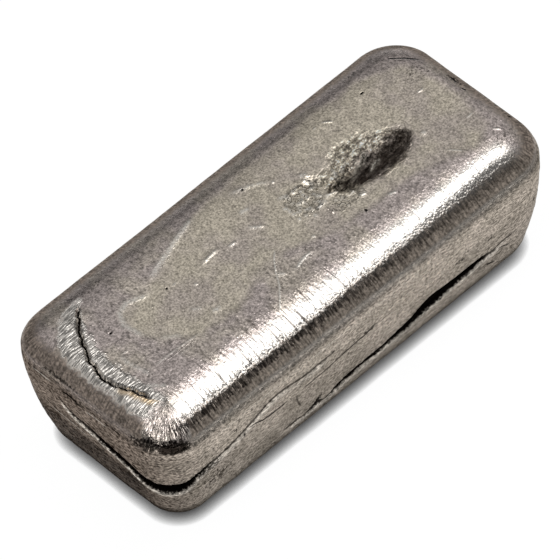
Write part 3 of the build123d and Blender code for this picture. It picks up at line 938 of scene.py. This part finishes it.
def studio_floor():
    """White sweep: paper that keeps the bar's soft shadow, darkest in the crease under its walls."""
    material = bpy.data.materials.new("white_paper")
    material.use_nodes = True
    tree = material.node_tree
    tree.nodes.clear()
    paper = node(tree, "ShaderNodeBsdfDiffuse", {"Color": linear("#484848")})
    crease = node(tree, "ShaderNodeAmbientOcclusion", {"Distance": 1.7 * MM}, samples=8)
    open_sky = node(tree, "ShaderNodeMath", {0: crease.outputs["AO"], 1: 2}, operation="POWER")
    strength = node(tree, "ShaderNodeMath", {0: open_sky.outputs[0], 1: 0.97}, operation="MULTIPLY")
    glow = node(tree, "ShaderNodeEmission", {"Strength": strength.outputs[0]})
    rays = node(tree, "ShaderNodeLightPath").outputs
    seen = rays["Is Camera Ray"]
    for ray in (rays["Is Glossy Ray"], rays["Is Transmission Ray"]):
        seen = node(tree, "ShaderNodeMath", {0: seen, 1: ray}, operation="MAXIMUM").outputs[0]
    lit = node(tree, "ShaderNodeAddShader", {0: paper.outputs[0], 1: glow.outputs[0]})
    either = node(tree, "ShaderNodeMixShader", {0: seen, 1: paper.outputs[0], 2: lit.outputs[0]})
    node(tree, "ShaderNodeOutputMaterial", {"Surface": either.outputs[0]})
    return material


# Photograph's view: the camera looks down on the near long side and the near end
PHOTO_SIZE = 560
AZIMUTH = -38.35
ELEVATION = 50.352
ROLL = -7.264
PIXELS_PER_HALF_LENGTH = 274.04
NEARNESS = 0.028467          # half lengths of the bar to one camera distance
CENTRE_PIXEL = (285.69, 282.98)


def photo_camera():
    half = LENGTH / 2 * MM
    azimuth, elevation, roll = (math.radians(a) for a in (AZIMUTH, ELEVATION, ROLL))
    back = Vector((math.sin(azimuth) * math.cos(elevation), -math.cos(azimuth) * math.cos(elevation),
                   math.sin(elevation)))
    level = Vector((math.cos(azimuth), math.sin(azimuth), 0))
    over = back.cross(level)
    right = math.cos(roll) * level + math.sin(roll) * over
    up = -math.sin(roll) * level + math.cos(roll) * over
    data = bpy.data.cameras.new("photo_camera")
    data.sensor_width = 36
    data.lens = PIXELS_PER_HALF_LENGTH / NEARNESS / PHOTO_SIZE * data.sensor_width
    data.clip_end = 20
    camera = placed("photo_camera", data)
    per_pixel = half / PIXELS_PER_HALF_LENGTH
    aim = (Vector((0, 0, HEIGHT / 2 * MM)) - right * (CENTRE_PIXEL[0] - PHOTO_SIZE / 2) * per_pixel
           + up * (CENTRE_PIXEL[1] - PHOTO_SIZE / 2) * per_pixel)
    turned = Matrix((right, up, back)).transposed().to_4x4()
    camera.matrix_world = Matrix.Translation(aim + back * half / NEARNESS) @ turned
    bpy.context.scene.camera = camera


def room():
    """Dim room whose light falls off towards the horizon, darkest on the camera's side, and a small
    bright patch that shines in the near corner."""
    world = bpy.data.worlds.new("room")
    bpy.context.scene.world = world
    world.use_nodes = True
    tree = world.node_tree
    tree.nodes.clear()
    way = node(tree, "ShaderNodeTexCoord").outputs["Generated"]
    axes = node(tree, "ShaderNodeSeparateXYZ", {0: way}).outputs
    ramp = node(tree, "ShaderNodeValToRGB", {"Fac": axes["Z"]})
    stops = [(0, 0.26), (0.38, 0.28), (0.52, 0.44), (0.65, 0.5), (0.8, 0.56), (1, 0.6)]
    while len(ramp.color_ramp.elements) < len(stops):
        ramp.color_ramp.elements.new(0.5)
    for element, (position, value) in zip(ramp.color_ramp.elements, stops):
        element.position = position
        element.color = (value, value, value, 1)

    def towards(direction, far, close):
        """Share of a patch of the room, from 0 outside it to 1 within."""
        angle = node(tree, "ShaderNodeVectorMath", {0: way, 1: direction}, operation="DOT_PRODUCT")
        return node(tree, "ShaderNodeMapRange", {
            "Value": angle.outputs["Value"], "From Min": far, "From Max": close},
            interpolation_type="SMOOTHSTEP").outputs[0]

    light = ramp.outputs["Color"]
    # Patches: direction, where they fade in, and brightness
    for direction, far, close, value in (
            ((0, -1, 0), 0.18, 0.27, 0.1), ((0, -1, 0), 0.62, 0.72, 0.42), ((-1, 0, 0), 0.3, 0.55, 0.34),
            ((-0.66, -0.56, 0.5), 0.84, 0.93, 0.02), ((-0.46, -0.36, 0.81), 0.972, 0.988, 2.6)):
        light = node(tree, "ShaderNodeMix", {
            "Factor": towards(direction, far, close), 6: light, 7: (value, value, value, 1)},
            data_type="RGBA").outputs[2]
    sky = node(tree, "ShaderNodeBackground", {"Color": light, "Strength": 1})
    node(tree, "ShaderNodeOutputWorld", {"Surface": sky.outputs[0]})


def studio():
    """Pale floor, and one large soft light overhead, placed by where its edges show in the rim."""
    mesh = bpy.data.meshes.new("floor")
    half = 3.0
    corners = [(-half, -half, 0), (half, -half, 0), (half, half, 0), (-half, half, 0)]
    mesh.from_pydata(corners, [], [(0, 1, 2, 3)])
    mesh.materials.append(studio_floor())
    floor = placed("floor", mesh)
    height = 0.9
    x_range, y_range = (-0.45, 0.8), (-0.225, 0.06)
    brightness = 2.8
    data = bpy.data.lights.new("soft_light", "AREA")
    data.shape = "RECTANGLE"
    data.size = (x_range[1] - x_range[0]) * height
    data.size_y = (y_range[1] - y_range[0]) * height
    data.energy = brightness * math.pi * data.size * data.size_y
    lamp = placed("soft_light", data)
    lamp.location = (sum(x_range) / 2 * height, sum(y_range) / 2 * height, height)


bar = silver_bar(cast_silver())
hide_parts("bar")
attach(bar, "root")
room()
studio()
photo_camera()
bpy.context.scene.view_settings.view_transform = "Standard"
